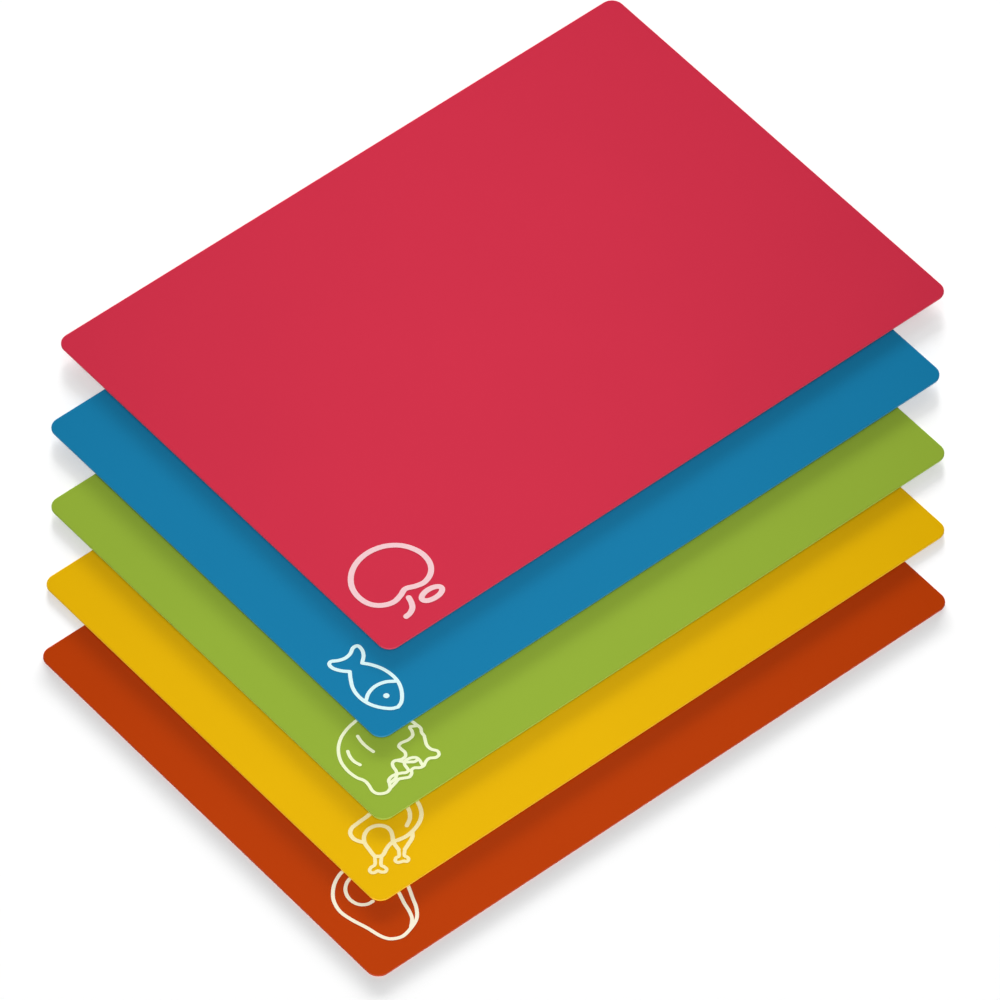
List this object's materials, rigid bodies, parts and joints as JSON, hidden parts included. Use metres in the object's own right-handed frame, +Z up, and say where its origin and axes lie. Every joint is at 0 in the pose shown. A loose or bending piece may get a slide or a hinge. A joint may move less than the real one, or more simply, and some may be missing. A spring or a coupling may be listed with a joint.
{
  "type": "flexible cutting mat set",
  "caption": "Thin flexible plastic cutting mats with rounded corners, lying on each other in a fanned stack; each lifts off the one below.",
  "frame": {"origin": "on the table, under the middle of the whole fanned stack's box", "axes": "+X along the mats' long edges, +Y away from the user along their short edges, +Z up"},
  "size_m": [0.5152, 0.4276, 0.0064],
  "materials": {
    "orange_plastic": "matte",
    "yellow_plastic": "matte",
    "green_plastic": "matte",
    "blue_plastic": "matte",
    "red_plastic": "matte"
  },
  "bodies": {
    "orange_mat": {"orange_mat": "orange_plastic"},
    "yellow_mat": {"yellow_mat": "yellow_plastic"},
    "green_mat": {"green_mat": "green_plastic"},
    "blue_mat": {"blue_mat": "blue_plastic"},
    "red_mat": {"red_mat": "red_plastic"}
  },
  "joints": [
    {"name": "yellow_lift", "type": "slide", "parent": "orange_mat", "child": "yellow_mat", "axis": [0, 0, 1], "range_m": [0, 0.06]},
    {"name": "green_lift", "type": "slide", "parent": "yellow_mat", "child": "green_mat", "axis": [0, 0, 1], "range_m": [0, 0.06]},
    {"name": "blue_lift", "type": "slide", "parent": "green_mat", "child": "blue_mat", "axis": [0, 0, 1], "range_m": [0, 0.06]},
    {"name": "red_lift", "type": "slide", "parent": "blue_mat", "child": "red_mat", "axis": [0, 0, 1], "range_m": [0, 0.06]}
  ]
}
